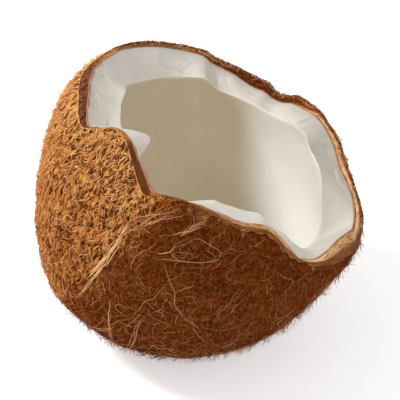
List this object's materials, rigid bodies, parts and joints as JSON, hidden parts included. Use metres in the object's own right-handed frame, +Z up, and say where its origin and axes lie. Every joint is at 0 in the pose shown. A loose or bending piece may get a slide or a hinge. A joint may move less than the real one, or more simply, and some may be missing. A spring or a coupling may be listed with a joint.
{
  "type": "half coconut, cracked open",
  "caption": "Ripe brown coconut cracked open into a deep half: coir-covered shell lined with thick white flesh, hollow facing up, resting on a small flat spot.",
  "frame": {"origin": "middle of the flat spot that the nut rests on", "axes": "+Z up; the opening faces up and leans 35 degrees towards +X; -Y is the side that a viewer sees"},
  "size_m": [0.1164, 0.1134, 0.1025],
  "materials": {
    "coir_shell": "matt brown coir fibres over a hard brown shell",
    "flesh": "moist, waxy white, slightly translucent"
  },
  "bodies": {
    "root": {"shell": "coir_shell", "flesh": "flesh"}
  },
  "joints": []
}
